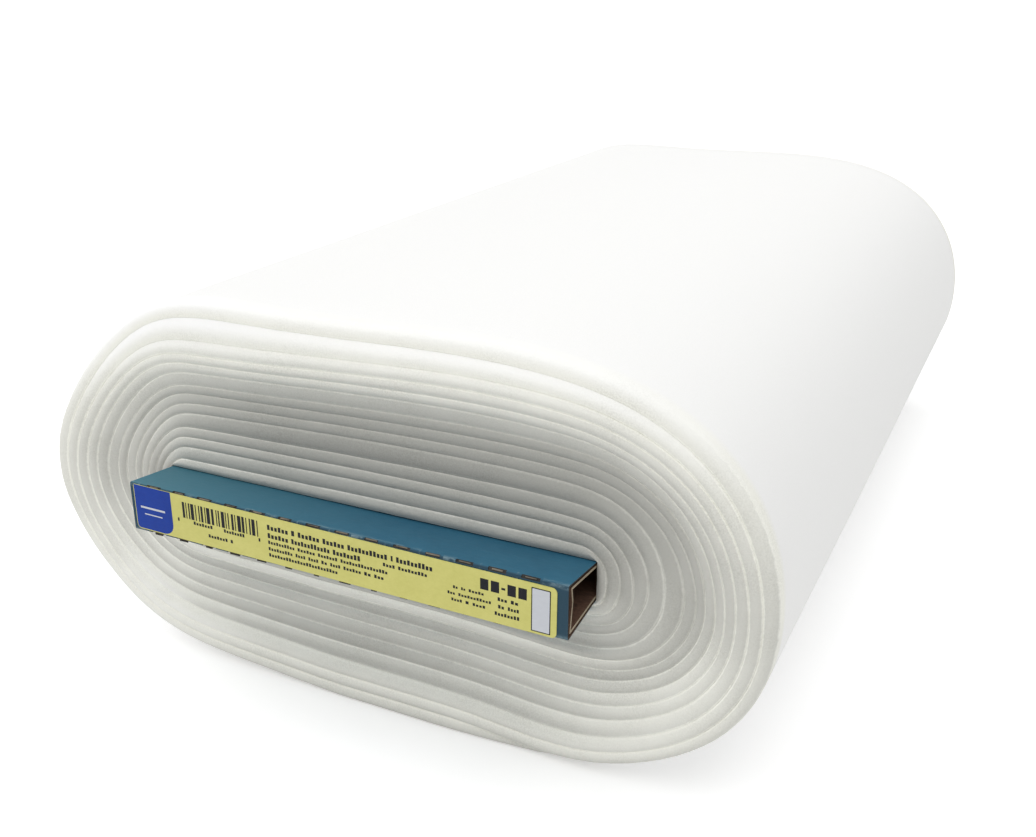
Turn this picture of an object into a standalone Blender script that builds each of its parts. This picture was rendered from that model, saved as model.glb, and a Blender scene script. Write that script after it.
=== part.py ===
"""A roll of foam stabilizer, wound flat on its folded cardboard bolt board.

Metres, +Z up, +X to the right and +Y away along the roll. The origin lies on
the surface under the middle of the whole object. The cloth is one solid of its
wound form, with the end of every turn as a soft step; inside it lies a flat
sleeve of printed cardboard with a kraft ply in it and a paper label on its end.
"""
import math

import bmesh
import bpy
import numpy as np

# Driving sizes
TOTAL_LENGTH = 0.565        # board and label, end to end
CLOTH_WIDTH = 0.508         # 20 inches, the length of the roll
TURNS = 14                  # times that the cloth goes round the board
BOARD_WIDTH = 0.2032        # 8 inches
END_HEIGHT = 0.0224         # the board's height at its two ends
GRIP_HEIGHT = 0.0164        # its height where the cloth presses it flat
PINCH_LENGTH = 0.026        # from an end to where the board is pressed flat
BOARD_CENTRE = (0.0032, 0.090)  # x and z of the board's middle
FIT_GAP = 0.0003            # kept between pieces that touch

# The board's two plies
WRAP_WALL = 0.0010
CORE_WALL = 0.0012
PLY_GAP = 0.0009            # between the plies at the open ends
CORE_BOW = 0.0022           # how far the inner ply bows away from the end panel
CORE_BOW_HEIGHT = 0.003     # how far above the middle it bows the most
FOLD_RADIUS = 0.0012

# The label on the end panel
LABEL_SIZE = (0.197, 0.0206)
LABEL_SHIFT = (-0.0012, -0.0003)
LABEL_THICKNESS = 0.0003
LABEL_CORNER = 0.0020

# The outermost turn's outline, seen from the front: twelve points in even steps
# of the sweep, counter-clockwise from the right. Below the surface it is flat.
OUTLINE = (
    # x, z
    (0.1738, 0.0856),
    (0.1620, 0.1309),
    (0.0933, 0.1730),
    (-0.0133, 0.1754),
    (-0.0896, 0.1741),
    (-0.1434, 0.1405),
    (-0.1736, 0.0865),
    (-0.1520, 0.0359),
    (-0.0996, 0.0066),
    (-0.0107, -0.0005),
    (0.1035, 0.0046),
    (0.1651, 0.0484),
)

# How far each turn's front end stands out of the cloth's mean edge, in mm, on
# the roll's four sides. A turn that stands out in front is set back behind.
TURN_ENDS = (
    # top, right, bottom, left, from the board outwards
    (2.6, 2.8, 2.0, 2.0),
    (1.2, 1.4, 1.6, 1.0),
    (0.4, 0.8, 0.2, 0.2),
    (-0.8, 0.2, -1.0, -0.8),
    (-1.6, 1.2, -0.6, -1.4),
    (-2.4, -1.6, -2.6, -1.8),
    (-2.8, -2.2, -3.2, -2.4),
    (-2.4, -2.0, -2.8, -1.6),
    (-1.8, -1.6, -3.4, -2.0),
    (0.6, 0.4, -3.0, -0.6),
    (1.8, 1.4, -2.2, 0.6),
    (2.2, 1.6, 2.2, 1.0),
    (1.6, 1.2, 1.8, 0.8),
    (-1.0, -0.6, 1.0, -0.4),
)
SWEEP_STEPS = 64            # points round each ring
END_ROLL = 0.0012           # how much a turn's end falls away to its outer side
STEP_SHARE = 0.05           # share of a turn that the step to the next one takes
SLOT_CORNER = 0.0005

COLLECTION = "foam_stabilizer_roll"
MM = 0.001


def clear_scene():
    for item in list(bpy.data.objects):
        bpy.data.objects.remove(item, do_unlink=True)


def new_collection(name):
    group = bpy.data.collections.new(name)
    bpy.context.scene.collection.children.link(group)
    return group


def material(name, colour, roughness, metallic=0.0):
    mat = bpy.data.materials.new(name)
    mat.use_nodes = True
    shader = mat.node_tree.nodes["Principled BSDF"]
    shader.inputs["Base Color"].default_value = (*colour, 1.0)
    shader.inputs["Roughness"].default_value = roughness
    shader.inputs["Metallic"].default_value = metallic
    return mat


def add_object(name, mesh, mat, group):
    obj = bpy.data.objects.new(name, mesh)
    mesh.materials.append(mat)
    group.objects.link(obj)
    return obj


def smooth_outline(steps):
    """A smooth closed curve through the outline's points, flat where it rests."""
    count = len(OUTLINE)
    points = np.array([complex(x, z) for x, z in OUTLINE])
    waves = np.fft.fft(points) / count
    orders = np.fft.fftfreq(count, 1.0 / count)
    even = np.abs(orders) < count / 2
    sweep = np.arange(steps) / steps * math.tau
    curve = np.exp(1j * np.outer(sweep, orders[even])) @ waves[even]
    return np.stack([curve.real, np.maximum(curve.imag, 0.0)], axis=1), sweep


def slot_ring(outline):
    """The slot's wall: for each outline point, the nearest point of the board's section."""
    centre = np.array(BOARD_CENTRE)
    half = np.array([BOARD_WIDTH, GRIP_HEIGHT]) / 2 + FIT_GAP
    core = half - SLOT_CORNER
    offset = outline - centre
    inner = np.clip(offset, -core, core)
    away = offset - inner
    reach = np.linalg.norm(away, axis=1, keepdims=True)
    return centre + inner + away / reach * SLOT_CORNER


def side_shares(sweep):
    """How much each side's column counts at each step of the sweep."""
    across = np.cos(sweep)
    up = np.sin(sweep)
    return np.stack([np.clip(up, 0, 1) ** 2, np.clip(across, 0, 1) ** 2,
                     np.clip(-up, 0, 1) ** 2, np.clip(-across, 0, 1) ** 2])


def end_rings(outline, slot, sweep):
    """Rings over one end of the roll, two a turn, from the slot to the outside."""
    rings = []
    shares = side_shares(sweep)
    for turn, sides in enumerate(TURN_ENDS):
        stand = np.array(sides) @ shares * MM
        first = turn + (STEP_SHARE if turn else 0.0)
        last = turn + 1 - (STEP_SHARE if turn < TURNS - 1 else 0.0)
        for place, height in ((first, stand), (last, stand - END_ROLL)):
            share = place / TURNS
            section = slot * (1 - share) + outline * share
            rings.append((section, height))
    return rings


def make_foam_roll(group):
    """The wound cloth: both ends' rings, joined through the slot and round the outside."""
    outline, sweep = smooth_outline(SWEEP_STEPS)
    slot = slot_ring(outline)
    front = end_rings(outline, slot, sweep)
    shape = bmesh.new()
    loops = []
    for edge, rings in ((-CLOTH_WIDTH / 2, front), (CLOTH_WIDTH / 2, reversed(front))):
        for section, height in rings:
            loops.append([shape.verts.new((x, edge - h, z)) for (x, z), h in zip(section, height)])
    for index, loop in enumerate(loops):
        following = loops[(index + 1) % len(loops)]
        for a in range(SWEEP_STEPS):
            b = (a + 1) % SWEEP_STEPS
            shape.faces.new((loop[a], following[a], following[b], loop[b]))
    bmesh.ops.recalc_face_normals(shape, faces=shape.faces)
    mesh = bpy.data.meshes.new("foam_roll")
    shape.to_mesh(mesh)
    shape.free()
    mesh.shade_smooth()
    mesh.set_sharp_from_angle(angle=math.radians(40))
    return add_object("foam_roll", mesh, material("white_foam", (0.82, 0.82, 0.80), 0.9), group)


def make_sleeve(name, outline, wall, mat, group):
    """Cardboard folded along its cross folds into a flat sleeve, open at both sides.

    The outline holds y and z of the sheet's outer face, going round once.
    """
    middle_x, middle_z = BOARD_CENTRE
    shape = bmesh.new()
    sides = []
    for x in (middle_x - BOARD_WIDTH / 2, middle_x + BOARD_WIDTH / 2):
        sides.append([shape.verts.new((x, y, middle_z + z)) for y, z in outline])
    left, right = sides
    for a in range(len(outline)):
        b = (a + 1) % len(outline)
        shape.faces.new((left[a], right[a], right[b], left[b]))
    mesh = bpy.data.meshes.new(name)
    shape.to_mesh(mesh)
    shape.free()
    obj = add_object(name, mesh, mat, group)
    fold = obj.modifiers.new("folds", "BEVEL")
    fold.width = FOLD_RADIUS
    fold.segments = 2
    fold.limit_method = "ANGLE"
    fold.angle_limit = math.radians(30)
    ply = obj.modifiers.new("ply", "SOLIDIFY")
    ply.thickness = wall
    ply.offset = -1.0
    ply.use_even_offset = True
    return obj


def board_ends():
    """Where the board begins and ends along the roll, the label in front of it."""
    front = -TOTAL_LENGTH / 2 + LABEL_THICKNESS + FIT_GAP
    return front, TOTAL_LENGTH / 2


def make_board_wrap(group):
    """The printed sleeve: two wide faces, an end panel at each end, pinched in between."""
    front, back = board_ends()
    tall = END_HEIGHT / 2
    flat = GRIP_HEIGHT / 2
    upper = [(front, tall), (front + PINCH_LENGTH, flat), (back - PINCH_LENGTH, flat), (back, tall)]
    lower = [(y, -z) for y, z in reversed(upper)]
    teal = material("printed_cardboard", (0.048, 0.135, 0.205), 0.55)
    return make_sleeve("board_wrap", upper + lower, WRAP_WALL, teal, group)


def make_board_core(group):
    """The kraft ply: against the sleeve where the cloth grips, loose at the ends."""
    front, back = board_ends()
    first = front + WRAP_WALL + FIT_GAP
    last = back - WRAP_WALL - FIT_GAP
    tall = END_HEIGHT / 2 - WRAP_WALL - PLY_GAP
    flat = GRIP_HEIGHT / 2 - WRAP_WALL - FIT_GAP
    pinches = (front + PINCH_LENGTH, back - PINCH_LENGTH)
    upper = [(first + CORE_BOW / 2, tall)] + [(y, flat) for y in pinches] + [(last, tall)]
    lower = [(last, -tall)] + [(y, -flat) for y in reversed(pinches)] + [(first, -tall)]
    bow = [(first + CORE_BOW, CORE_BOW_HEIGHT)]
    kraft = material("kraft_cardboard", (0.27, 0.19, 0.125), 0.85)
    return make_sleeve("board_core", upper + lower + bow, CORE_WALL, kraft, group)


def make_end_label(group):
    """The paper label, a thin plate with rounded corners, a hair in front of the end panel."""
    width, height = LABEL_SIZE
    shape = bmesh.new()
    bmesh.ops.create_cube(shape, size=1.0)
    bmesh.ops.scale(shape, vec=(width, LABEL_THICKNESS, height), verts=shape.verts)
    corners = [e for e in shape.edges if abs(e.verts[0].co.y - e.verts[1].co.y) > LABEL_THICKNESS / 2]
    bmesh.ops.bevel(shape, geom=corners, offset=LABEL_CORNER, segments=3, profile=0.5, affect="EDGES")
    mesh = bpy.data.meshes.new("end_label")
    shape.to_mesh(mesh)
    shape.free()
    label = add_object("end_label", mesh, material("label_paper", (0.70, 0.66, 0.24), 0.45), group)
    label.location = (
        BOARD_CENTRE[0] + LABEL_SHIFT[0],
        -TOTAL_LENGTH / 2 + LABEL_THICKNESS / 2,
        BOARD_CENTRE[1] + LABEL_SHIFT[1],
    )
    return label


clear_scene()
roll_parts = new_collection(COLLECTION)
make_foam_roll(roll_parts)
make_board_wrap(roll_parts)
make_board_core(roll_parts)
make_end_label(roll_parts)
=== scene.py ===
"""Looks of a roll of foam stabilizer, wound flat on its folded cardboard board."""
import math

import bmesh
import bpy
import numpy as np
from mathutils import Matrix, Vector


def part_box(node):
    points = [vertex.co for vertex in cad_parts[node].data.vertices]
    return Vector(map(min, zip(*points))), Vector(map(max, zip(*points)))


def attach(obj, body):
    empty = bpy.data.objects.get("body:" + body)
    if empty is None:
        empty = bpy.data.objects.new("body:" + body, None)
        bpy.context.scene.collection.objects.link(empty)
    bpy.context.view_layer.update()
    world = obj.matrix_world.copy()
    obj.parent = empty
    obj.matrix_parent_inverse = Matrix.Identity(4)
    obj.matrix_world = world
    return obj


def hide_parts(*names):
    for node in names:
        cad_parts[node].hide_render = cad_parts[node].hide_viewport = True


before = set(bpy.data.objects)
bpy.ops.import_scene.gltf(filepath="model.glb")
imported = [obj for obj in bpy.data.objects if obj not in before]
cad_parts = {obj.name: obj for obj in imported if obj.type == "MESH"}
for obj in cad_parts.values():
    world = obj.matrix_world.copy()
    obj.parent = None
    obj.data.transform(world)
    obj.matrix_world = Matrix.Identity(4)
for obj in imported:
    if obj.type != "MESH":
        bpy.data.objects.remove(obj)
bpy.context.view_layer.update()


# The kraft ply
# The inner ply of the bolt board is plain brown cardboard, folded flat into a sleeve that is
# open at both sides. Where the cloth grips the board it lies against the printed ply, and
# behind the front end panel it bows away, so its cut edge shows as a second line.
BOARD_X, BOARD_Z = 0.0032, 0.090    # the board's middle
BOARD_HALF = 0.1016                 # half its width, 8 inches in all
PINCH = 0.026                       # from an end to where the cloth presses the board flat
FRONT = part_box("board_wrap")[0][1]
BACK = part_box("board_wrap")[1][1]
KRAFT_INSET = 0.0013                # from the end panel's face to the ply's
KRAFT_RISE = 0.0093                 # half the ply's height at its ends
KRAFT_GRIP_RISE = 0.0069            # and where it is pressed flat
KRAFT_BOW = 0.0022                  # how far it bows away from the end panel
KRAFT_BOW_HEIGHT = 0.003            # and how far above the middle
KRAFT_THICKNESS = 0.0010
FOLD_ROUND = 0.0008
FOLD_POINTS = 5                     # points round each fold
RUN_STEP = 0.012                    # between points along the flat runs
COLUMNS = 40                        # across the board's width
WAVE_HEIGHT = 0.00016
DENT_HEIGHT = 0.00007


def new_piece(name, mesh, *materials):
    piece = bpy.data.objects.new(name, mesh)
    bpy.context.scene.collection.objects.link(piece)
    for look in materials:
        mesh.materials.append(look)
    return piece


def freeze(piece):
    """Turns a piece with its modifiers into a plain mesh."""
    shown = piece.evaluated_get(bpy.context.evaluated_depsgraph_get())
    mesh = bpy.data.meshes.new_from_object(shown)
    piece.modifiers.clear()
    piece.data = mesh
    return piece


def rounded_loop(corners, radius, step):
    """Points round a folded outline: arcs at its sharp corners, even steps along its runs."""
    corners = np.array(corners)
    stops = []
    for index, corner in enumerate(corners):
        before = corners[index - 1] - corner
        after = corners[(index + 1) % len(corners)] - corner
        before /= np.linalg.norm(before)
        after /= np.linalg.norm(after)
        turn = math.acos(np.clip(-before @ after, -1, 1))
        cut = radius * math.tan(turn / 2)
        arc = FOLD_POINTS if turn > math.radians(30) else 1
        for part in np.linspace(0, 1, arc):
            side = before * (1 - part) ** 2 + after * part ** 2
            stops.append((corner + side * cut * (1.0 if arc > 1 else 0.0), arc > 1))
    loop, crease = [], []
    for index, (stop, folded) in enumerate(stops):
        following = stops[(index + 1) % len(stops)][0]
        run = np.linalg.norm(following - stop)
        pieces = max(1, round(run / step)) if run > 2 * radius else 1
        for part in range(pieces):
            share = part / pieces
            loop.append(stop * (1 - share) + following * share)
            crease.append(1.0 if folded and part == 0 else 0.0)
    return np.array(loop), crease


def board_unevenness(x, y, z):
    """The board's slight waves, in metres, from how it was pressed and handled."""
    wave = math.sin(31 * x + 9 * y + 0.6) * math.sin(23 * y - 17 * x + 1.9)
    dent = math.sin(83 * x + 410 * z + 0.3) * math.sin(57 * y + 2.2)
    return WAVE_HEIGHT * wave + DENT_HEIGHT * dent


def folded_sleeve(name, corners, thickness, outside, inside, cut_edge):
    """A flat sleeve of cardboard, folded round cross folds and open at both sides."""
    loop, crease = rounded_loop(corners, FOLD_ROUND, RUN_STEP)
    shape = bmesh.new()
    creased = shape.verts.layers.float.new("crease")
    rows = []
    for column in range(COLUMNS + 1):
        x = BOARD_HALF * (2 * column / COLUMNS - 1)
        row = []
        for (y, z), fold in zip(loop, crease):
            lift = board_unevenness(x, y, z)
            vert = shape.verts.new((BOARD_X + x, y, BOARD_Z + z + lift * math.copysign(1, z)))
            vert[creased] = fold
            row.append(vert)
        rows.append(row)
    for left, right in zip(rows, rows[1:]):
        for a in range(len(loop)):
            b = (a + 1) % len(loop)
            shape.faces.new((left[a], right[a], right[b], left[b]))
    mesh = bpy.data.meshes.new(name)
    shape.to_mesh(mesh)
    shape.free()
    mesh.shade_smooth()
    piece = new_piece(name, mesh, outside, inside, cut_edge)
    ply = piece.modifiers.new("ply", "SOLIDIFY")
    ply.thickness = thickness
    ply.offset = -1.0
    ply.use_even_offset = True
    ply.material_offset = 1
    ply.material_offset_rim = 2
    freeze(piece)
    piece.data.set_sharp_from_angle(angle=math.radians(50))
    return piece


def add_node(tree, kind, values=(), **settings):
    """A node with its settings, and plain values on its inputs."""
    made = tree.nodes.new(kind)
    for key, value in settings.items():
        setattr(made, key, value)
    for key, value in dict(values).items():
        made.inputs[key].default_value = value
    return made


def calculate(tree, operation, *values):
    """A Math node; each value is a number or an output."""
    made = add_node(tree, "ShaderNodeMath", operation=operation)
    for socket, value in enumerate(values):
        if isinstance(value, float):
            made.inputs[socket].default_value = value
        else:
            tree.links.new(value, made.inputs[socket])
    return made.outputs[0]


def new_group(name, kind, inputs, outputs):
    """A node group with named sockets; each is (name, socket type, default)."""
    group = bpy.data.node_groups.new(name, kind)
    for title, socket, default in inputs:
        made = group.interface.new_socket(title, in_out="INPUT", socket_type=socket)
        if default is not None:
            made.default_value = default
    for title, socket in outputs:
        group.interface.new_socket(title, in_out="OUTPUT", socket_type=socket)
    return group


def paper_grain_group():
    """Long and short paper fibres: a mask for colour and a height for bump."""
    group = new_group(
        "paper_grain", "ShaderNodeTree",
        [("Fibres per metre", "NodeSocketFloat", 900.0), ("Stretch", "NodeSocketFloat", 0.25)],
        [("Mask", "NodeSocketFloat"), ("Height", "NodeSocketFloat")],
    )
    given = add_node(group, "NodeGroupInput")
    out = add_node(group, "NodeGroupOutput")
    place = add_node(group, "ShaderNodeTexCoord")
    squeeze = add_node(group, "ShaderNodeCombineXYZ", {"Y": 1.0, "Z": 1.0})
    along = add_node(group, "ShaderNodeVectorMath", operation="MULTIPLY")
    fibres = add_node(group, "ShaderNodeTexNoise", {"Detail": 4.0, "Roughness": 0.65})
    patches = add_node(group, "ShaderNodeTexNoise", {"Scale": 60.0, "Detail": 2.0})
    link = group.links.new
    link(given.outputs["Stretch"], squeeze.inputs["X"])
    link(place.outputs["Object"], along.inputs[0])
    link(squeeze.outputs[0], along.inputs[1])
    link(along.outputs[0], fibres.inputs["Vector"])
    link(given.outputs["Fibres per metre"], fibres.inputs["Scale"])
    link(place.outputs["Object"], patches.inputs["Vector"])
    # the mask is a little under half large patches, and the rest fibres
    fibre_part = calculate(group, "MULTIPLY", fibres.outputs["Fac"], 0.55)
    mask = calculate(group, "MULTIPLY_ADD", patches.outputs["Fac"], 0.45, fibre_part)
    link(mask, out.inputs["Mask"])
    link(fibres.outputs["Fac"], out.inputs["Height"])
    return group


paper_grain = paper_grain_group()


def new_look(name, roughness):
    """A material with its Principled shader, ready for links."""
    look = bpy.data.materials.new(name)
    look.use_nodes = True
    shader = look.node_tree.nodes["Principled BSDF"]
    shader.inputs["Roughness"].default_value = roughness
    return look, look.node_tree, shader


def use_group(tree, group, values=()):
    return add_node(tree, "ShaderNodeGroup", values, node_tree=group)


def blend_colours(tree, share, first, second):
    """Mixes two colours, each a tuple or an output, by a share."""
    made = add_node(tree, "ShaderNodeMix", data_type="RGBA")
    for socket, colour in ((6, first), (7, second)):
        if isinstance(colour, tuple):
            made.inputs[socket].default_value = (*colour, 1.0)
        else:
            tree.links.new(colour, made.inputs[socket])
    tree.links.new(share, made.inputs[0])
    return made.outputs[2]


def spread(tree, value, low, high):
    """Stretches a mask so that low becomes 0 and high becomes 1."""
    made = add_node(tree, "ShaderNodeMapRange", {"From Min": low, "From Max": high})
    tree.links.new(value, made.inputs["Value"])
    return made.outputs[0]


def raise_surface(tree, shader, height, distance, strength=1.0):
    bump = add_node(tree, "ShaderNodeBump", {"Distance": distance, "Strength": strength})
    tree.links.new(height, bump.inputs["Height"])
    tree.links.new(bump.outputs[0], shader.inputs["Normal"])
    return bump


def kraft_look(name, dark, light):
    look, tree, shader = new_look(name, 0.88)
    grain = use_group(tree, paper_grain, {"Fibres per metre": 1400.0})
    flecks = spread(tree, grain.outputs["Mask"], 0.36, 0.64)
    colour = blend_colours(tree, flecks, dark, light)
    tree.links.new(colour, shader.inputs["Base Color"])
    raise_surface(tree, shader, grain.outputs["Height"], 0.0002)
    return look


kraft = kraft_look("kraft_cardboard", (0.078, 0.040, 0.025), (0.175, 0.095, 0.060))
pale_kraft = kraft_look("pale_kraft", (0.22, 0.175, 0.120), (0.43, 0.365, 0.26))
kraft_first = FRONT + KRAFT_INSET
kraft_last = BACK - KRAFT_INSET
kraft_pinches = (FRONT + PINCH, BACK - PINCH)
kraft_corners = [(kraft_first + KRAFT_BOW / 2, KRAFT_RISE)]
kraft_corners += [(y, KRAFT_GRIP_RISE) for y in kraft_pinches]
kraft_corners += [(kraft_last, KRAFT_RISE), (kraft_last, -KRAFT_RISE)]
kraft_corners += [(y, -KRAFT_GRIP_RISE) for y in reversed(kraft_pinches)]
kraft_corners += [(kraft_first, -KRAFT_RISE), (kraft_first + KRAFT_BOW, KRAFT_BOW_HEIGHT)]
kraft_ply = folded_sleeve("kraft_ply", kraft_corners, KRAFT_THICKNESS, kraft, kraft, pale_kraft)
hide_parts("board_core")
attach(kraft_ply, "root")


# The printed sleeve
# The board's outer ply is thin card printed teal on its face and plain kraft behind. Each end
# panel is folded down along a line of short cut slits, whose walls are painted dark as shade
# with a brown shred of torn kraft in each, and the print is paler in broken bits along the folds.
END_RISE = 0.0112                   # half the board's height at its ends
GRIP_RISE = 0.0082                  # and where it is pressed flat
PRINT_THICKNESS = 0.0006
SLIT_COUNT = 14
SLIT_PITCH = 0.0135
SLIT_FIRST = -0.0888                # from the board's middle
SLIT_SIZE = (0.0074, 0.004, 0.0015)
SHRED_SIZE = (0.0056, 0.0005, 0.0003)
SHRED_DEPTH = 0.00063               # below the fold's edge
TORN_BIT_SIZE = (0.0042, 0.0004, 0.0007)
FOLDS = (
    # name, place along the roll, height above the board's middle, seed of its slits
    ("front_top", FRONT, END_RISE, 9),
    ("front_bottom", FRONT, -END_RISE, 12),
    ("back_top", BACK, END_RISE, 8),
    ("back_bottom", BACK, -END_RISE, 11),
)


def fold_slits_group():
    """A row of slim blocks along X, each a little longer or shorter than the last."""
    group = new_group(
        "fold_slits", "GeometryNodeTree",
        [("Count", "NodeSocketInt", 10), ("Pitch", "NodeSocketFloat", 0.01),
         ("Size", "NodeSocketVector", (0.005, 0.001, 0.001)),
         ("Smallest", "NodeSocketVector", (0.82, 1.0, 0.9)),
         ("Largest", "NodeSocketVector", (1.08, 1.0, 1.08)),
         ("Seed", "NodeSocketInt", 3), ("Material", "NodeSocketMaterial", None)],
        [("Geometry", "NodeSocketGeometry")],
    )
    given = add_node(group, "NodeGroupInput")
    out = add_node(group, "NodeGroupOutput")
    step = add_node(group, "ShaderNodeCombineXYZ")
    line = add_node(group, "GeometryNodeMeshLine", mode="OFFSET")
    block = add_node(group, "GeometryNodeMeshCube")
    copies = add_node(group, "GeometryNodeInstanceOnPoints")
    uneven = add_node(group, "FunctionNodeRandomValue", data_type="FLOAT_VECTOR")
    real = add_node(group, "GeometryNodeRealizeInstances")
    finish = add_node(group, "GeometryNodeSetMaterial")
    link = group.links.new
    link(given.outputs["Pitch"], step.inputs["X"])
    link(step.outputs[0], line.inputs["Offset"])
    link(given.outputs["Count"], line.inputs["Count"])
    link(given.outputs["Size"], block.inputs["Size"])
    link(given.outputs["Seed"], uneven.inputs["Seed"])
    link(given.outputs["Smallest"], uneven.inputs[0])
    link(given.outputs["Largest"], uneven.inputs[1])
    link(line.outputs[0], copies.inputs["Points"])
    link(block.outputs[0], copies.inputs["Instance"])
    link(uneven.outputs[0], copies.inputs["Scale"])
    link(copies.outputs[0], real.inputs[0])
    link(real.outputs[0], finish.inputs["Geometry"])
    link(given.outputs["Material"], finish.inputs["Material"])
    link(finish.outputs[0], out.inputs[0])
    return group


def grow(name, group, values, mesh=None):
    """A plain mesh made by a geometry node group with these named inputs."""
    piece = new_piece(name, mesh or bpy.data.meshes.new(name))
    maker = piece.modifiers.new(name, "NODES")
    maker.node_group = group
    for item in group.interface.items_tree:
        if item.in_out == "INPUT" and item.name in values:
            maker[item.identifier] = values[item.name]
    return freeze(piece)


def join_pieces(name, group):
    """One mesh from several, with their materials kept."""
    shape = bmesh.new()
    looks = []
    for piece in group:
        look = piece.data.materials[piece.data.polygons[0].material_index]
        if look not in looks:
            looks.append(look)
        start = len(shape.faces)
        shape.from_mesh(piece.data)
        shape.faces.ensure_lookup_table()
        for face in shape.faces[start:]:
            face.material_index = looks.index(look)
        bpy.data.objects.remove(piece)
    mesh = bpy.data.meshes.new(name)
    shape.to_mesh(mesh)
    shape.free()
    return new_piece(name, mesh, *looks)


def print_look():
    look, tree, shader = new_look("teal_print", 0.55)
    shader.inputs["Specular IOR Level"].default_value = 0.3
    grain = use_group(tree, paper_grain, {"Fibres per metre": 500.0, "Stretch": 0.4})
    mottle = spread(tree, grain.outputs["Mask"], 0.3, 0.7)
    ink = blend_colours(tree, mottle, (0.020, 0.106, 0.178), (0.029, 0.133, 0.212))
    # the print is lighter towards the left end, and the end panels are painted darker: painted
    # shade on the faces turned from the overhead light
    place = add_node(tree, "ShaderNodeTexCoord")
    spot = add_node(tree, "ShaderNodeSeparateXYZ")
    tree.links.new(place.outputs["Object"], spot.inputs[0])
    leftward = spread(tree, spot.outputs["X"], 0.025, -0.085)
    ink = blend_colours(tree, leftward, ink, (0.050, 0.166, 0.222))
    reach = calculate(tree, "ABSOLUTE", spot.outputs["Y"])
    panel_painted_shade = spread(tree, reach, -FRONT - 0.0008, -FRONT - 0.0001)
    ink = blend_colours(tree, panel_painted_shade, ink, (0.014, 0.052, 0.084))
    # along the folds it is paler in broken bits
    crease = add_node(tree, "ShaderNodeAttribute", attribute_name="crease")
    broken = calculate(tree, "MULTIPLY", spread(tree, crease.outputs["Fac"], 0.88, 1.0),
                       spread(tree, grain.outputs["Height"], 0.42, 0.66))
    paler_along_folds = blend_colours(tree, broken, ink, (0.16, 0.25, 0.29))
    tree.links.new(paler_along_folds, shader.inputs["Base Color"])
    raise_surface(tree, shader, grain.outputs["Height"], 0.00012)
    return look


teal_print = print_look()
# the slit walls and the bits below the panel are painted nearly black, as painted shade in and
# under the cuts
slit_shade = kraft_look("slit_shade", (0.010, 0.010, 0.009), (0.040, 0.036, 0.030))
torn_kraft = kraft_look("torn_kraft", (0.060, 0.052, 0.040), (0.24, 0.205, 0.155))
sleeve_corners = [(FRONT, END_RISE), (FRONT + PINCH, GRIP_RISE)]
sleeve_corners += [(BACK - PINCH, GRIP_RISE), (BACK, END_RISE)]
sleeve_corners += [(y, -z) for y, z in reversed(sleeve_corners)]
printed_sleeve = folded_sleeve(
    "printed_sleeve", sleeve_corners, PRINT_THICKNESS, teal_print, kraft, kraft)
fold_slits = fold_slits_group()
shreds = []
for fold_name, fold_y, fold_z, fold_seed in FOLDS:
    corner = Matrix.Translation((BOARD_X + SLIT_FIRST, fold_y, BOARD_Z + fold_z))
    lean = Matrix.Rotation(math.copysign(math.radians(45), -fold_y * fold_z), 4, "X")
    slits = grow("slits_" + fold_name, fold_slits, {
        "Count": SLIT_COUNT, "Pitch": SLIT_PITCH, "Size": SLIT_SIZE,
        "Seed": fold_seed, "Material": slit_shade,
    })
    slits.data.transform(corner @ lean)
    cut = printed_sleeve.modifiers.new(fold_name, "BOOLEAN")
    cut.operation = "DIFFERENCE"
    cut.material_mode = "TRANSFER"
    cut.object = slits
    freeze(printed_sleeve)
    bpy.data.objects.remove(slits)
    # a shred of torn ply is left standing along the middle of each slit
    row = grow("shreds_" + fold_name, fold_slits, {
        "Count": SLIT_COUNT, "Pitch": SLIT_PITCH, "Size": SHRED_SIZE,
        "Smallest": (0.7, 0.7, 0.8), "Largest": (1.1, 1.3, 1.2), "Seed": fold_seed + 20,
        "Material": torn_kraft,
    })
    inward = Matrix.Translation((0.0, 0.0, -math.copysign(SHRED_DEPTH, fold_z)))
    row.data.transform(corner @ lean @ inward)
    shreds.append(row)
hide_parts("board_wrap")
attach(printed_sleeve, "root")
# torn bits of the lower fold's slits hang just below the end panel, coloured with the slits' dark
# painted shade
bits = grow("bits", fold_slits, {
    "Count": SLIT_COUNT, "Pitch": SLIT_PITCH, "Size": TORN_BIT_SIZE,
    "Smallest": (0.5, 0.8, 0.5), "Largest": (1.3, 1.2, 1.3), "Seed": 11, "Material": slit_shade,
})
bits_start = (BOARD_X + SLIT_FIRST, FRONT + PRINT_THICKNESS / 2, BOARD_Z - END_RISE)
bits.data.transform(Matrix.Translation(bits_start))
torn_bits = join_pieces("torn_bits", shreds + [bits])
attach(torn_bits, "root")


# The end label
# A coated paper label covers most of the front end panel: pale yellow, with a plain blue patch
# at its left, plain bars, dashes in rows for its small print, and an empty white box. It holds
# no lettering.
LABEL_LOW, LABEL_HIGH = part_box("end_label")
LABEL_ROUNDS = (0.0020, 0.0020, 0.0020, 0.0006)
LABEL_THICKNESS = 0.0003
GLUE_THICKNESS = 0.00005
INK_THICKNESS = 0.00003
LABEL_FACE = FRONT - GLUE_THICKNESS - LABEL_THICKNESS
LABEL_LEAN = 0.45                   # degrees
CORNER_POINTS = 7
MM = 0.001


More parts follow.
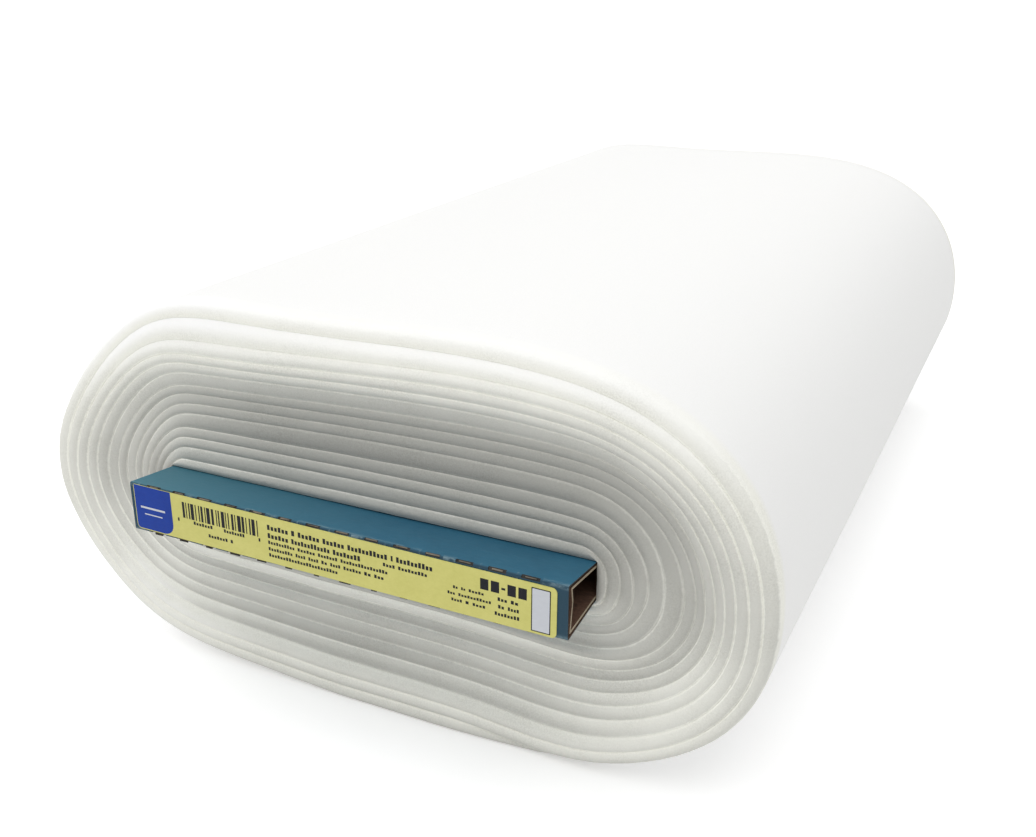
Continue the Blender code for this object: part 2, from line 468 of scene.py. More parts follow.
def rounded_plate(name, left, right, low, high, corners, front, thickness, look):
    """A thin upright plate; corners holds its radii, anticlockwise from its lower left."""
    outline = []
    spots = ((left, low, 180), (right, low, 270), (right, high, 0), (left, high, 90))
    for (x, z, start), radius in zip(spots, corners):
        inward_x = radius if x == left else -radius
        inward_z = radius if z == low else -radius
        for part in range(CORNER_POINTS if radius else 1):
            turn = math.radians(start + 90 * part / (CORNER_POINTS - 1))
            across, up = radius * math.cos(turn), radius * math.sin(turn)
            outline.append((x + inward_x + across, z + inward_z + up))
    shape = bmesh.new()
    near = [shape.verts.new((x, front, z)) for x, z in outline]
    far = [shape.verts.new((x, front + thickness, z)) for x, z in outline]
    shape.faces.new(near)
    shape.faces.new(reversed(far))
    for a in range(len(outline)):
        b = (a + 1) % len(outline)
        shape.faces.new((near[b], near[a], far[a], far[b]))
    mesh = bpy.data.meshes.new(name)
    shape.to_mesh(mesh)
    shape.free()
    return new_piece(name, mesh, look)


def paper_look(name, light, dark, roughness):
    look, tree, shader = new_look(name, roughness)
    shader.inputs["Specular IOR Level"].default_value = 0.2
    grain = use_group(tree, paper_grain, {"Fibres per metre": 700.0, "Stretch": 0.6})
    cloud = spread(tree, grain.outputs["Mask"], 0.3, 0.7)
    tree.links.new(blend_colours(tree, cloud, dark, light), shader.inputs["Base Color"])
    raise_surface(tree, shader, grain.outputs["Height"], 0.00006)
    return look


yellow_paper = paper_look("yellow_paper", (0.65, 0.62, 0.205), (0.57, 0.545, 0.16), 0.42)
blue_ink = paper_look("blue_ink", (0.002, 0.042, 0.33), (0.001, 0.032, 0.27), 0.4)
dark_ink = paper_look("dark_ink", (0.012, 0.013, 0.018), (0.008, 0.009, 0.013), 0.5)
white_ink = paper_look("white_ink", (0.60, 0.62, 0.66), (0.55, 0.57, 0.61), 0.45)

paper_label = rounded_plate(
    "paper_label", LABEL_LOW[0], LABEL_HIGH[0], LABEL_LOW[2], LABEL_HIGH[2],
    LABEL_ROUNDS, LABEL_FACE, LABEL_THICKNESS, yellow_paper)
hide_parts("end_label")
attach(paper_label, "root")

LABEL_PRINT = (
    # name, left, right, low, high (mm from the board's middle), ink, corner
    ("patch", -99.4, -79.6, -10.2, 10.0, blue_ink, 5.0),
    ("patch_rule", -96.6, -83.4, -0.4, 0.5, white_ink, 0.0),
    ("patch_rule_thin", -94.8, -85.2, -3.2, -2.7, white_ink, 0.0),
    ("box_edge", 87.2, 94.9, -9.7, 8.4, dark_ink, 0.3),
    ("box", 87.6, 94.5, -9.3, 8.0, white_ink, 0.2),
)
SMALL_PRINT = (
    # left, height of the row's middle, height of its marks, word lengths in mm
    (-30.0, 5.4, 2.3, (10.6, 2.0, 10.6, 10.4, 18.4, 1.2, 16.2)),
    (-30.0, 1.7, 2.2, (10.4, 18.6, 13.0)),
    (24.4, 2.0, 1.5, (5.6, 13.0)),
    (-30.0, -1.3, 1.5, (13.2, 8.6, 9.4, 21.8)),
    (-30.0, -4.2, 1.5, (12.0, 5.0, 5.0, 3.0, 5.0, 8.4, 3.4, 4.6)),
    (-30.0, -7.0, 1.5, (33.4,)),
    (-76.6, -1.4, 1.5, (1.2,)),
    (-68.2, -1.4, 1.5, (10.2,)),
    (-52.4, -1.4, 1.5, (10.8,)),
    (-34.8, -1.4, 1.5, (1.2,)),
    (-60.8, -5.6, 1.5, (10.2, 1.6)),
    (55.0, 0.2, 1.2, (2.2, 2.0, 6.6)),
    (52.6, -2.6, 1.2, (3.4, 14.0)),
    (54.2, -5.2, 1.2, (4.8, 1.8, 5.6)),
    (73.6, -0.2, 1.5, (4.2, 3.4)),
    (73.8, -3.3, 1.5, (2.8, 4.8)),
    (72.4, -6.4, 1.5, (10.4,)),
)
WORD_GAP = 1.2
MARK_PITCH = 1.3                    # of a row 1.3 mm high, and more in a higher one
MARK_PITCH_GAIN = 0.35
MARK_SHARE = 0.7                    # of the pitch; the rest is bare paper
MARK_HEIGHTS = (1.0, 0.74, 0.74, 0.95, 0.74, 0.74, 1.0)
BIG_MARKS = (
    # left, right, low, high
    (66.4, 69.8, 2.2, 6.8),
    (70.8, 74.2, 2.2, 6.8),
    (77.6, 81.0, 2.2, 6.8),
    (82.0, 85.4, 2.2, 6.8),
    (75.1, 76.7, 4.0, 4.9),
)
BAR_WIDTHS = (1.2, 0.5, 0.7, 1.6, 0.5, 0.6, 1.1, 0.5, 1.7)
BAR_GAPS = (0.6, 0.9, 0.5, 0.8, 1.2)
BARS_LEFT, BARS_RIGHT = -73.6, -35.2
BARS_LOW, BARS_HIGH = -0.1, 7.2


def print_plate(name, left, right, low, high, look, corner=0.0, layer=0):
    """A patch of ink, in mm from the board's middle; corner rounds its lower right the most."""
    radii = (0.3 * corner * MM, corner * MM, 0.3 * MM * (corner > 0), 0.3 * MM * (corner > 0))
    return rounded_plate(
        name, BOARD_X + left * MM, BOARD_X + right * MM, BOARD_Z + low * MM, BOARD_Z + high * MM,
        radii, LABEL_FACE - INK_THICKNESS * (layer + 1), INK_THICKNESS * (layer + 0.5), look)


printed = []
for layer, (name, left, right, low, high, ink, corner) in enumerate(LABEL_PRINT):
    printed.append(print_plate(name, left, right, low, high, ink, corner, layer % 3))
# small print is rows of plain short marks, not letters
for left, middle, tall, words in SMALL_PRINT:
    for word in words:
        count = max(1, round(word / (MARK_PITCH + MARK_PITCH_GAIN * (tall - 1.3))))
        pitch = word / count
        for mark in range(count):
            low = middle - tall / 2
            high = low + tall * MARK_HEIGHTS[mark % len(MARK_HEIGHTS)]
            start = left + mark * pitch
            end = start + pitch * MARK_SHARE
            printed.append(print_plate("mark", start, end, low, high, dark_ink))
        left += word + WORD_GAP
for left, right, low, high in BIG_MARKS:
    printed.append(print_plate("big_mark", left, right, low, high, dark_ink))
start, bar = BARS_LEFT, 0
while start < BARS_RIGHT:
    wide = BAR_WIDTHS[bar % len(BAR_WIDTHS)]
    printed.append(print_plate("bar", start, start + wide, BARS_LOW, BARS_HIGH, dark_ink))
    start += wide + BAR_GAPS[bar % len(BAR_GAPS)]
    bar += 1
label_print = join_pieces("label_print", printed)
# the label is stuck on a little askew
board_middle = Vector((BOARD_X, FRONT, BOARD_Z))
askew = Matrix.Translation(board_middle) @ Matrix.Rotation(math.radians(LABEL_LEAN), 4, "Y")
for piece in (paper_label, label_print):
    piece.data.transform(askew @ Matrix.Translation(-board_middle))
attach(label_print, "root")


# The wound foam
# Ten yards of white foam, faced on both sides with fine knit and cut 20 inches wide, are wound
# flat round the board in one long spiral. Its loose end lies under the roll. The turns' cut
# edges are soft and rolled over, and stand at slightly different depths.
CLOTH_WIDTH = 0.508                 # 20 inches
TURNS = 14
STEPS = 144                         # points along each turn
GRIP_GAP = 0.0003                   # between the cloth and the board
LAYER_GAP = 0.00002                 # on each face of a layer
SLOT_ROUND = 0.0005                 # how the cloth rounds the board's corners, at the board
SQUEEZE_ROUND = 0.0072              # and how much more it does further out
SQUEEZE_REACH = 0.06                # share of the winding over which it grows
LOOSE_END = 303.0                   # degrees round the roll from its right, where the cloth ends
CLIMB = 0.30                        # part of a turn in which a layer climbs onto the next
END_TAPER, END_THIN = 0.06, 0.12    # part of a turn that thins out, and to what share
START_TAPER, START_THIN = 0.05, 0.45
END_TUCK = 0.005                    # how far the loose end's two edges are drawn in
# how far a turn's edge is rounded back: turns from the board, then mm
EDGE_DEPTHS = ((9.5, 11.5, 12.5, 13.0), (0.75, 1.0, 1.1, 2.6))
EDGE_POWER = 2.3                    # how sharply it turns at its faces
EDGE_BEGINS = 0.245                 # from the middle of the cloth's width
TOP_SOFT = 0.5                      # how much deeper the outermost edge is rounded at the top
UNEVEN = 0.06                       # share by which the layers' thickness varies
SHOULDER = 0.27                     # how much thicker the outer turns lie at the shoulder
SHOULDER_AT, SHOULDER_SPREAD = 110.0, 18.0  # degrees round the roll
BRIDGE_GAIN = 4.0                   # how soon the turns bridge the board's corners
BRIDGE_ROUNDS = 8                   # times that each line is smoothed
OUTLINE = (
    # x, z of the outermost turn, in even steps of the sweep
    (0.1738, 0.0856), (0.1620, 0.1309), (0.0933, 0.1730), (-0.0133, 0.1754),
    (-0.0896, 0.1741), (-0.1434, 0.1405), (-0.1736, 0.0865), (-0.1520, 0.0359),
    (-0.0996, 0.0066), (-0.0107, -0.0005), (0.1035, 0.0046), (0.1651, 0.0484),
)
TURN_TABLE = (
    # from the board outwards, each at the roll's top, right, bottom and left: thickness in mm,
    # how far the end stands out in mm, and how light the cut foam is painted, as painted shade and
    # light
    (5.2, 3.9, 4.9, 4.4, 2.6, 2.8, 2.0, 2.0, 0.53, 0.56, 0.51, 0.56),
    (5.7, 6.2, 4.9, 4.4, 1.2, 1.4, 1.6, 1.0, 0.47, 0.50, 0.54, 0.48),
    (4.7, 3.6, 4.9, 4.4, 0.4, 0.8, 0.2, 0.2, 0.44, 0.51, 0.43, 0.46),
    (5.4, 7.2, 4.9, 4.4, -0.8, 0.2, -1.0, -0.8, 0.41, 0.52, 0.50, 0.49),
    (7.0, 7.4, 5.4, 4.6, -1.6, 1.2, 0.4, -1.4, 0.38, 0.54, 0.60, 0.59),
    (4.5, 5.2, 5.2, 4.6, -2.4, -1.6, -2.2, -1.8, 0.42, 0.51, 0.86, 0.55),
    (5.2, 3.8, 5.2, 4.8, -2.8, -2.2, -3.2, -2.4, 0.43, 0.54, 0.58, 0.61),
    (4.1, 3.8, 6.2, 4.8, -2.4, -2.0, -2.8, -1.6, 0.46, 0.53, 0.65, 0.56),
    (6.6, 3.6, 6.6, 6.4, -1.8, -1.6, -3.4, -2.0, 0.59, 0.67, 0.62, 0.60),
    (4.9, 4.5, 6.4, 5.3, 0.6, 0.4, -3.0, -0.6, 0.75, 0.61, 0.55, 0.61),
    (4.4, 4.5, 6.6, 5.3, 1.8, 1.4, -2.2, 0.6, 0.79, 0.66, 0.67, 0.69),
    (5.3, 5.0, 6.8, 6.5, 2.2, 1.6, 2.2, 1.0, 0.89, 0.67, 0.83, 0.70),
    (7.6, 4.9, 6.2, 6.8, 1.6, 1.2, 1.8, 0.8, 1.00, 0.70, 0.81, 0.76),
    (6.4, 6.0, 6.8, 7.8, -1.0, -0.6, 1.0, -0.4, 0.97, 0.71, 0.78, 0.83),
)
# how much lighter the cut foam is painted at the roll's corners, as painted light: turns from the
# board, then shares
UPPER_LEFT_LIGHT = ((0, 2, 5, 9, 11, 13), (0.36, 0.38, 0.21, 0.13, 0.18, 0.19))
UPPER_RIGHT_LIGHT = ((0, 6, 8, 10, 13), (-0.08, -0.07, 0.01, 0.04, 0.12))
LOWER_RIGHT_LIGHT = ((0, 3, 5, 7, 9, 11, 13), (0.22, 0.12, -0.06, 0.21, 0.46, 0.14, 0.04))
LOWER_LEFT_LIGHT = ((3, 5, 7, 9.5, 11, 13), (-0.04, 0.14, 0.16, 0.44, 0.22, 0.14))


def outline_at(angles):
    """The outermost turn's section at these sweep angles, flat where it rests."""
    count = len(OUTLINE)
    waves = np.fft.fft([complex(x, z) for x, z in OUTLINE]) / count
    orders = np.fft.fftfreq(count, 1.0 / count)
    kept = np.abs(orders) < count / 2
    curve = np.exp(1j * np.outer(angles, orders[kept])) @ waves[kept]
    return np.stack([curve.real, np.maximum(curve.imag, 0.0)], axis=1)


def slot_at(outline, corner):
    """The board's section where each outline point looks at it, with its corners rounded."""
    centre = np.array([BOARD_X, BOARD_Z])
    core = np.array([BOARD_HALF, GRIP_RISE]) + GRIP_GAP - corner
    offset = outline - centre
    inner = np.clip(offset, -core, core)
    away = offset - inner
    return centre + inner + away / np.linalg.norm(away, axis=1, keepdims=True) * corner


def smooth_step(value):
    value = np.clip(value, 0.0, 1.0)
    return value * value * (3 - 2 * value)


def side_shares(angles):
    """How much the roll's top, right, bottom and left each count at these sweep angles."""
    across, up = np.cos(angles), np.sin(angles)
    return np.stack([np.clip(up, 0, 1) ** 2, np.clip(across, 0, 1) ** 2,
                     np.clip(-up, 0, 1) ** 2, np.clip(-across, 0, 1) ** 2])


def at_place(columns, places):
    """Values of the turn table's columns between its rows, at these places from the board."""
    return np.stack([np.interp(places, np.arange(TURNS), column) for column in columns])


def layer_borders(table, part):
    """The line between each layer and the next, followed from the cloth's start outwards."""
    angles = np.radians(LOOSE_END) + part * math.tau
    places = np.arange(TURNS) - 1 + smooth_step(part / CLIMB)[:, None]
    layers = (at_place(table[:, :4].T, places) * side_shares(angles)[:, :, None]).sum(axis=0)
    turned = np.arange(TURNS) + part[:, None]
    swell = np.sin(1.37 * math.tau * turned + 0.5) + np.sin(2.71 * math.tau * turned + 1.9)
    layers *= 1 + UNEVEN * swell
    # the outer turns lie more loosely over the roll's upper left shoulder
    around = (np.degrees(angles) - SHOULDER_AT + 180) % 360 - 180
    layers[:, -3:] *= 1 + SHOULDER * np.exp(-(around / SHOULDER_SPREAD) ** 2)[:, None]
    layers[:, 0] *= START_THIN + (1 - START_THIN) * smooth_step(part / START_TAPER)
    layers[:, -1] *= 1 - (1 - END_THIN) * smooth_step((part - 1) / END_TAPER + 1)
    under = START_THIN * table[0, 2] * smooth_step((part - 1) / START_TAPER + 1)
    over = END_THIN * table[-1, 2] * (1 - smooth_step(part / END_TAPER))
    stacked = np.concatenate([under[:, None], layers], axis=1).cumsum(axis=1)
    shares = (stacked / (stacked[:, -1] + over)[:, None]).T.reshape(-1, 1)
    outer = np.tile(outline_at(angles), (TURNS + 1, 1))
    corner = SLOT_ROUND + SQUEEZE_ROUND * smooth_step(shares / SQUEEZE_REACH)
    border = slot_at(outer, corner) * (1 - shares) + outer * shares
    # the cloth bridges the board's corners softly, the more the further out, but not the outline
    give = 0.5 * np.clip(shares * BRIDGE_GAIN, 0, 1) * (1 - shares)
    for _ in range(BRIDGE_ROUNDS):
        border[1:-1] += give[1:-1] * ((border[:-2] + border[2:]) / 2 - border[1:-1])
    return border, places.T.reshape(-1)


def winding():
    """Everything along the cloth: its mid line and half thickness, how its cut end lies, and the
    painted shade and light of its cut foam.
    """
    table = np.array(TURN_TABLE)
    border, places = layer_borders(table, np.arange(STEPS) / STEPS)
    low, high = border[:-STEPS], border[STEPS:]
    middle = (low + high) / 2
    half = (high - low) / 2
    reach = np.linalg.norm(half, axis=1, keepdims=True)
    half *= (reach - LAYER_GAP) / reach
    sides = side_shares(np.radians(LOOSE_END) + np.arange(len(middle)) / STEPS * math.tau)
    stands = []
    for part in (-0.5, 0, 0.5):
        stands.append((at_place(table[:, 4:8].T, places + part) * sides).sum(axis=0))
    to_end = np.arange(len(middle), 0, -1) / STEPS
    tuck = END_TUCK * (1 - smooth_step(to_end / END_TAPER))
    lie = np.stack([stands[0] - stands[1], stands[1], stands[2] - stands[1]], axis=1) * MM
    depths = [np.interp(places + part, *EDGE_DEPTHS) for part in (-0.5, 0, 0.5)]
    depths[2] *= 1 + TOP_SOFT * sides[0] * (places > TURNS - 2)
    fall = np.stack(depths, axis=1) * MM
    run = np.concatenate([[0.0], np.cumsum(np.linalg.norm(np.diff(middle, axis=0), axis=1))])
    # the cut foam's lightness is painted shade and light: darker deeper in the roll, lighter
    # outwards, at the corners and by side
    painted_shade_tone = (at_place(table[:, 8:].T, places) * sides).sum(axis=0)
    # at a corner, the shares of its two sides multiply to a quarter
    painted_shade_tone *= 1 + 4 * (sides[0] * sides[3] * np.interp(places, *UPPER_LEFT_LIGHT)
                     + sides[0] * sides[1] * np.interp(places, *UPPER_RIGHT_LIGHT)
                     + sides[2] * sides[1] * np.interp(places, *LOWER_RIGHT_LIGHT)
                     + sides[2] * sides[3] * np.interp(places, *LOWER_LEFT_LIGHT))
    # how much each turn faces up, for the painted light on its upper side
    upward = half[:, 1] / np.linalg.norm(half, axis=1) * np.clip((places + 0.5) / 1.5, 0, 1)
    flat = [np.insert(line, 1, 0.0, axis=1) for line in (middle, half)]
    return {"middle": flat[0], "half": flat[1], "lie": lie, "fall": fall, "run": run, "painted_shade_tone": painted_shade_tone,
            "upward": upward, "tuck": tuck}


def cut_edge_profile():
    """The cloth's section: x is -1 at its inner face and 1 at its outer one, y across its width."""
    edge = (-1.0, -0.95, -0.85, -0.7, -0.45, -0.15, 0.15, 0.45, 0.65, 0.8, 0.9, 0.96, 1.0)
    between = (-0.236, -0.21, -0.15, -0.075, 0.0, 0.075, 0.15, 0.21, 0.236)
    half = CLOTH_WIDTH / 2
    points = [(q, -half) for q in edge] + [(1.0, w) for w in between]
    points += [(q, half) for q in reversed(edge)] + [(-1.0, -w) for w in between]
    curve = bpy.data.curves.new("cut_edge_profile", "CURVE")
    curve.dimensions = "3D"
    spline = curve.splines.new("POLY")
    spline.points.add(len(points) - 1)
    for point, (q, w) in zip(spline.points, points):
        point.co = (q, w, 0.0, 1.0)
    spline.use_cyclic_u = True
    return new_piece("cut_edge_profile", curve)


def wound_cloth_group():
    """Sweeps the cloth's section along its winding and sets each point where its turn lies."""
    group = new_group(
        "wound_cloth", "GeometryNodeTree",
        [("Geometry", "NodeSocketGeometry", None), ("Section", "NodeSocketObject", None),
         ("Edge waver", "NodeSocketFloat", 0.0004), ("Waves per metre", "NodeSocketFloat", 40.0),
         ("Surface waver", "NodeSocketFloat", 0.0004), ("Material", "NodeSocketMaterial", None)],
        [("Geometry", "NodeSocketGeometry")],
    )
    link = group.links.new
    given = add_node(group, "NodeGroupInput")
    out = add_node(group, "NodeGroupOutput")

    def named(title, kind):
        made = add_node(group, "GeometryNodeInputNamedAttribute", {"Name": title}, data_type=kind)
        return made.outputs["Attribute"]

    def vector(operation, a, b):
        made = add_node(group, "ShaderNodeVectorMath", operation=operation)
        link(a, made.inputs[0])
        link(b, made.inputs["Scale" if operation == "SCALE" else 1])
        return made.outputs[0]

    def number(operation, *values):
        return calculate(group, operation, *values)

    def waver_by(noise, amount):
        """A noise as a distance, evenly to both sides."""
        return number("MULTIPLY", number("SUBTRACT", noise, 0.5), given.outputs[amount])

    section_in = add_node(group, "GeometryNodeObjectInfo")
    where = add_node(group, "GeometryNodeInputPosition")
    keep_section = add_node(group, "GeometryNodeStoreNamedAttribute", {"Name": "section"},
                            data_type="FLOAT_VECTOR", domain="POINT")
    to_curve = add_node(group, "GeometryNodeMeshToCurve")
    sweep = add_node(group, "GeometryNodeCurveToMesh", {"Fill Caps": True})
    place = add_node(group, "GeometryNodeSetPosition")
    smooth = add_node(group, "GeometryNodeSetShadeSmooth")
    real = add_node(group, "GeometryNodeRealizeInstances")
    finish = add_node(group, "GeometryNodeSetMaterial")
    link(given.outputs["Section"], section_in.inputs["Object"])
    link(section_in.outputs["Geometry"], keep_section.inputs["Geometry"])
    link(where.outputs[0], keep_section.inputs["Value"])
    link(given.outputs["Geometry"], to_curve.inputs[0])
    link(to_curve.outputs[0], sweep.inputs["Curve"])
    link(keep_section.outputs[0], sweep.inputs["Profile Curve"])
    link(sweep.outputs[0], place.inputs["Geometry"])

    section = add_node(group, "ShaderNodeSeparateXYZ")
    link(named("section", "FLOAT_VECTOR"), section.inputs[0])
    through, across = section.outputs["X"], section.outputs["Y"]
    middle = named("middle", "FLOAT_VECTOR")
    half = named("half", "FLOAT_VECTOR")
    body = vector("ADD", middle, vector("SCALE", half, through))

    # the cut edge wavers a little along the cloth, in front and behind on their own
    travel = add_node(group, "ShaderNodeCombineXYZ")
    link(named("run", "FLOAT"), travel.inputs["X"])
    link(number("SIGN", across), travel.inputs["Y"])
    waver = add_node(group, "ShaderNodeTexNoise", {"Detail": 3.0, "Roughness": 0.6})
    link(travel.outputs[0], waver.inputs["Vector"])
    link(given.outputs["Waves per metre"], waver.inputs["Scale"])
    edge_shift = waver_by(waver.outputs["Fac"], "Edge waver")
    # each turn's edge is rounded back to both its faces and leans towards the next turn's, and
    # the loose end's edges are drawn in
    lie = add_node(group, "ShaderNodeSeparateXYZ")
    fall = add_node(group, "ShaderNodeSeparateXYZ")
    link(named("lie", "FLOAT_VECTOR"), lie.inputs[0])
    link(named("fall", "FLOAT_VECTOR"), fall.inputs[0])
    stand, rounded = lie.outputs["Y"], named("tuck", "FLOAT")
    for side, part in (("X", number("MAXIMUM", number("MULTIPLY", through, -1.0), 0.0)),
                       ("Z", number("MAXIMUM", through, 0.0))):
        stand = number("ADD", stand, number("MULTIPLY", part, lie.outputs[side]))
        curl = number("MULTIPLY", number("POWER", part, EDGE_POWER), fall.outputs[side])
        rounded = number("ADD", rounded, curl)
    at_edge = number("GREATER_THAN", number("ABSOLUTE", across), EDGE_BEGINS)
    rounded = number("MULTIPLY", number("MULTIPLY", rounded, at_edge), number("SIGN", across))
    depth = number("SUBTRACT", number("SUBTRACT", across, stand), rounded)
    aside = add_node(group, "ShaderNodeCombineXYZ")
    link(number("ADD", depth, edge_shift), aside.inputs["Y"])
    body = vector("ADD", body, aside.outputs[0])

    # the whole roll is very slightly uneven, all turns together
    swell = add_node(group, "ShaderNodeTexNoise", {"Scale": 9.0, "Detail": 1.0})
    link(body, swell.inputs["Vector"])
    rise = waver_by(swell.outputs["Fac"], "Surface waver")
    outward = add_node(group, "ShaderNodeVectorMath", operation="NORMALIZE")
    link(half, outward.inputs[0])
    body = vector("ADD", body, vector("SCALE", outward.outputs[0], rise))

    # nothing goes below the surface that the roll lies on
    spots = add_node(group, "ShaderNodeSeparateXYZ")
    resting = add_node(group, "ShaderNodeCombineXYZ")
    link(body, spots.inputs[0])
    link(spots.outputs["X"], resting.inputs["X"])
    link(spots.outputs["Y"], resting.inputs["Y"])
    link(number("MAXIMUM", spots.outputs["Z"], 0.0), resting.inputs["Z"])
    link(resting.outputs[0], place.inputs["Position"])
    link(place.outputs[0], smooth.inputs[0])
    link(smooth.outputs[0], real.inputs[0])
    link(real.outputs[0], finish.inputs["Geometry"])
    link(given.outputs["Material"], finish.inputs["Material"])
    link(finish.outputs[0], out.inputs[0])
    return group


def foam_look():
    """White knit faces with a fine nap; between them the cut foam, painted greyer deeper in the
    roll as shade.
    """
    look, tree, shader = new_look("white_foam", 0.95)
    shader.inputs["Sheen Weight"].default_value = 0.15
    shader.inputs["Sheen Roughness"].default_value = 0.6
    shader.inputs["Specular IOR Level"].default_value = 0.2

    def number(operation, *values):
        return calculate(tree, operation, *values)

    place = add_node(tree, "ShaderNodeTexCoord")
    section = add_node(tree, "ShaderNodeAttribute", attribute_name="section")
    painted_shade_tone = add_node(tree, "ShaderNodeAttribute", attribute_name="painted_shade_tone").outputs["Fac"]
    parts = add_node(tree, "ShaderNodeSeparateXYZ")
    tree.links.new(section.outputs["Vector"], parts.inputs[0])
    grains = {}
    for title, scale, detail in (("cells", 1500.0, 3.0), ("nap", 2200.0, 2.0),
                                 ("clouds", 35.0, 3.0), ("lumps", 350.0, 4.0)):
        grain = add_node(tree, "ShaderNodeTexNoise",
                         {"Scale": scale, "Detail": detail, "Roughness": 0.65})
        tree.links.new(place.outputs["Object"], grain.inputs["Vector"])
        grains[title] = grain.outputs["Fac"]

    # the knit shows at the cut as a pale ragged line
    through = number("ABSOLUTE", parts.outputs["X"])
    ragged = number("MULTIPLY_ADD", number("SUBTRACT", grains["lumps"], 0.5), 0.34, through)
    knit_line = spread(tree, ragged, 0.74, 0.95)
    # how much paler the knit line is also shifts with how the turn faces up or down, as painted
    # light
    upward = add_node(tree, "ShaderNodeAttribute", attribute_name="upward").outputs["Fac"]
    knit_light = number("MULTIPLY_ADD", number("ABSOLUTE", upward), -0.12, 0.40)
    paler = number("MULTIPLY_ADD", knit_line, knit_light, 1.0)
    # inside the roll the upper side of each turn is painted lighter than its lower side, as painted
    # light from above
    upper = number("MULTIPLY", parts.outputs["X"], upward)
    upper = number("MULTIPLY", upper, spread(tree, painted_shade_tone, 1.0, 0.8))
    gain = number("MULTIPLY_ADD", upward, -0.05, 0.20)
    painted_top_light = number("MULTIPLY_ADD", upper, gain, 1.0)
    light = number("MULTIPLY", number("MULTIPLY", painted_shade_tone, paler), painted_top_light)
    light = number("MINIMUM", light, 1.0)
    cut = blend_colours(tree, light, (0.0, 0.0, 0.0), (0.93, 0.928, 0.858))
    deep = blend_colours(tree, light, (0.0, 0.0, 0.0), (0.76, 0.758, 0.688))
    pitted = blend_colours(tree, spread(tree, grains["cells"], 0.3, 0.62), deep, cut)
    edge = blend_colours(tree, spread(tree, grains["clouds"], 0.3, 0.7), pitted, cut)
    # over the roll's top the knit of the outer turns is rolled over their edges and whitens them
    outer = spread(tree, parts.outputs["X"], -0.6, 0.5)
    rolled = number("MULTIPLY", outer, spread(tree, painted_shade_tone, 0.85, 1.05))
    edge = blend_colours(tree, rolled, edge, (0.95, 0.95, 0.94))
    face = blend_colours(tree, spread(tree, grains["nap"], 0.3, 0.7),
                         (0.89, 0.89, 0.875), (0.93, 0.93, 0.92))
    across = number("ABSOLUTE", parts.outputs["Y"])
    at_end = spread(tree, across, CLOTH_WIDTH / 2 - 0.008, CLOTH_WIDTH / 2 - 0.003)
    tree.links.new(blend_colours(tree, at_end, face, edge), shader.inputs["Base Color"])

    height = add_node(tree, "ShaderNodeMix", data_type="FLOAT")
    tree.links.new(at_end, height.inputs[0])
    tree.links.new(grains["nap"], height.inputs[2])
    tree.links.new(grains["lumps"], height.inputs[3])
    bump = raise_surface(tree, shader, height.outputs[0], 0.0002, 0.6)
    tree.links.new(number("MULTIPLY_ADD", at_end, 0.00045, 0.00015), bump.inputs["Distance"])
    return look


white_foam = foam_look()
cloth_line = winding()
centre_points = cloth_line["middle"]
path = bpy.data.meshes.new("winding")
path.from_pydata(centre_points, [(i, i + 1) for i in range(len(centre_points) - 1)], [])
for title, values in cloth_line.items():
    kind, key = ("FLOAT_VECTOR", "vector") if values.ndim == 2 else ("FLOAT", "value")
    path.attributes.new(title, kind, "POINT").data.foreach_set(key, np.ravel(values))
profile = cut_edge_profile()
wound_foam = grow("wound_foam", wound_cloth_group(), {
    "Section": profile, "Edge waver": 0.0010, "Waves per metre": 45.0, "Surface waver": 0.0010,
    "Material": white_foam,
}, path)
bpy.data.objects.remove(profile)
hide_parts("foam_roll")
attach(wound_foam, "root")


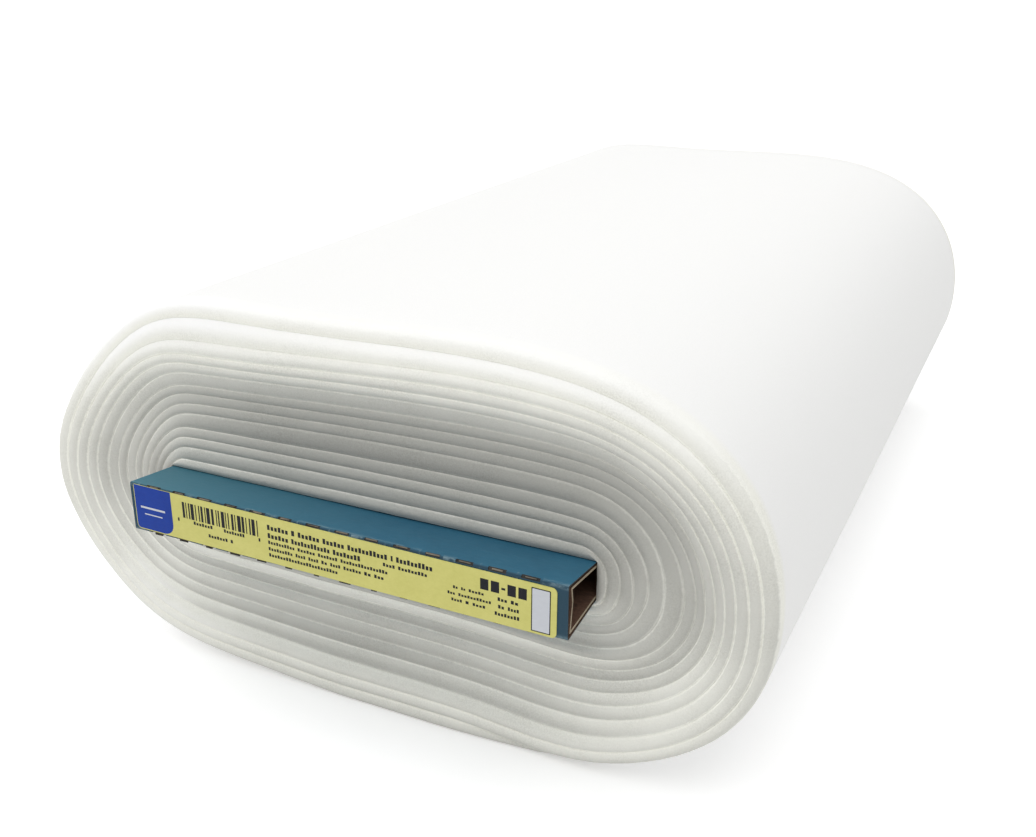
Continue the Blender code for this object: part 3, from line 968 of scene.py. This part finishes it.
# The floor, the light and the camera
# A plain white floor under a broad soft light from overhead, with an even white sky round it,
# and the camera close in front of the labelled end, to its right.
FLOOR_RADIUS = 30.0
FLOOR_GLOW = 0.12                   # the light that the floor gives
FLOOR_GLOW_SEEN = 0.21              # and how much brighter it looks
SKY_LIGHT = 0.54
SKY_LIGHT_SEEN = 0.50
SUN_STRENGTH = 1.85
SUN_SPREAD = 80                     # degrees
SUN_FROM = (-0.20, -0.15, 1.0)
shape = bmesh.new()
bmesh.ops.create_circle(shape, cap_ends=True, radius=FLOOR_RADIUS, segments=64)
floor_mesh = bpy.data.meshes.new("floor")
shape.to_mesh(floor_mesh)
shape.free()
floor_look, floor_tree, floor_shader = new_look("pale_floor", 0.9)
floor_shader.inputs["Base Color"].default_value = (0.85, 0.85, 0.85, 1.0)
floor_shader.inputs["Emission Color"].default_value = (1.0, 1.0, 1.0, 1.0)
# the floor is lit from below like a light table, and looks whiter than the light it gives
seen = add_node(floor_tree, "ShaderNodeLightPath").outputs["Is Camera Ray"]
glow = calculate(floor_tree, "MULTIPLY_ADD", seen, FLOOR_GLOW_SEEN, FLOOR_GLOW)
floor_tree.links.new(glow, floor_shader.inputs["Emission Strength"])
floor = new_piece("floor", floor_mesh, floor_look)

lamp = bpy.data.lights.new("overhead_light", "SUN")
lamp.energy = SUN_STRENGTH
lamp.angle = math.radians(SUN_SPREAD)
overhead = bpy.data.objects.new("overhead_light", lamp)
overhead.rotation_euler = Vector(SUN_FROM).to_track_quat("Z", "Y").to_euler()
bpy.context.scene.collection.objects.link(overhead)
world = bpy.data.worlds.new("studio")
bpy.context.scene.world = world
world.use_nodes = True
sky_tree = world.node_tree
sky = sky_tree.nodes["Background"]
sky.inputs["Color"].default_value = (1.0, 1.0, 1.0, 1.0)
# the sky looks as white as the floor, though it gives less light
seen = add_node(sky_tree, "ShaderNodeLightPath").outputs["Is Camera Ray"]
glow = calculate(sky_tree, "MULTIPLY_ADD", seen, SKY_LIGHT_SEEN, SKY_LIGHT)
sky_tree.links.new(glow, sky.inputs["Strength"])
bpy.context.scene.view_settings.view_transform = "Standard"

# the view was worked out for a picture 1036 pixels wide, with the camera 0.39 m from the roll
PICTURE_WIDTH = 1036
FOCAL_PIXELS = 1156.2
CAMERA_AT = (0.2456, -0.6115, 0.3052)
TILT_DOWN = 21.41                   # degrees
TURN_LEFT = 25.99
lens = bpy.data.cameras.new("camera")
lens.sensor_width = 36.0
lens.lens = lens.sensor_width * FOCAL_PIXELS / PICTURE_WIDTH
lens.clip_start = 0.01
camera = bpy.data.objects.new("camera", lens)
camera.location = CAMERA_AT
camera.rotation_euler = (math.radians(90 - TILT_DOWN), 0.0, math.radians(TURN_LEFT))
bpy.context.scene.collection.objects.link(camera)
bpy.context.scene.camera = camera
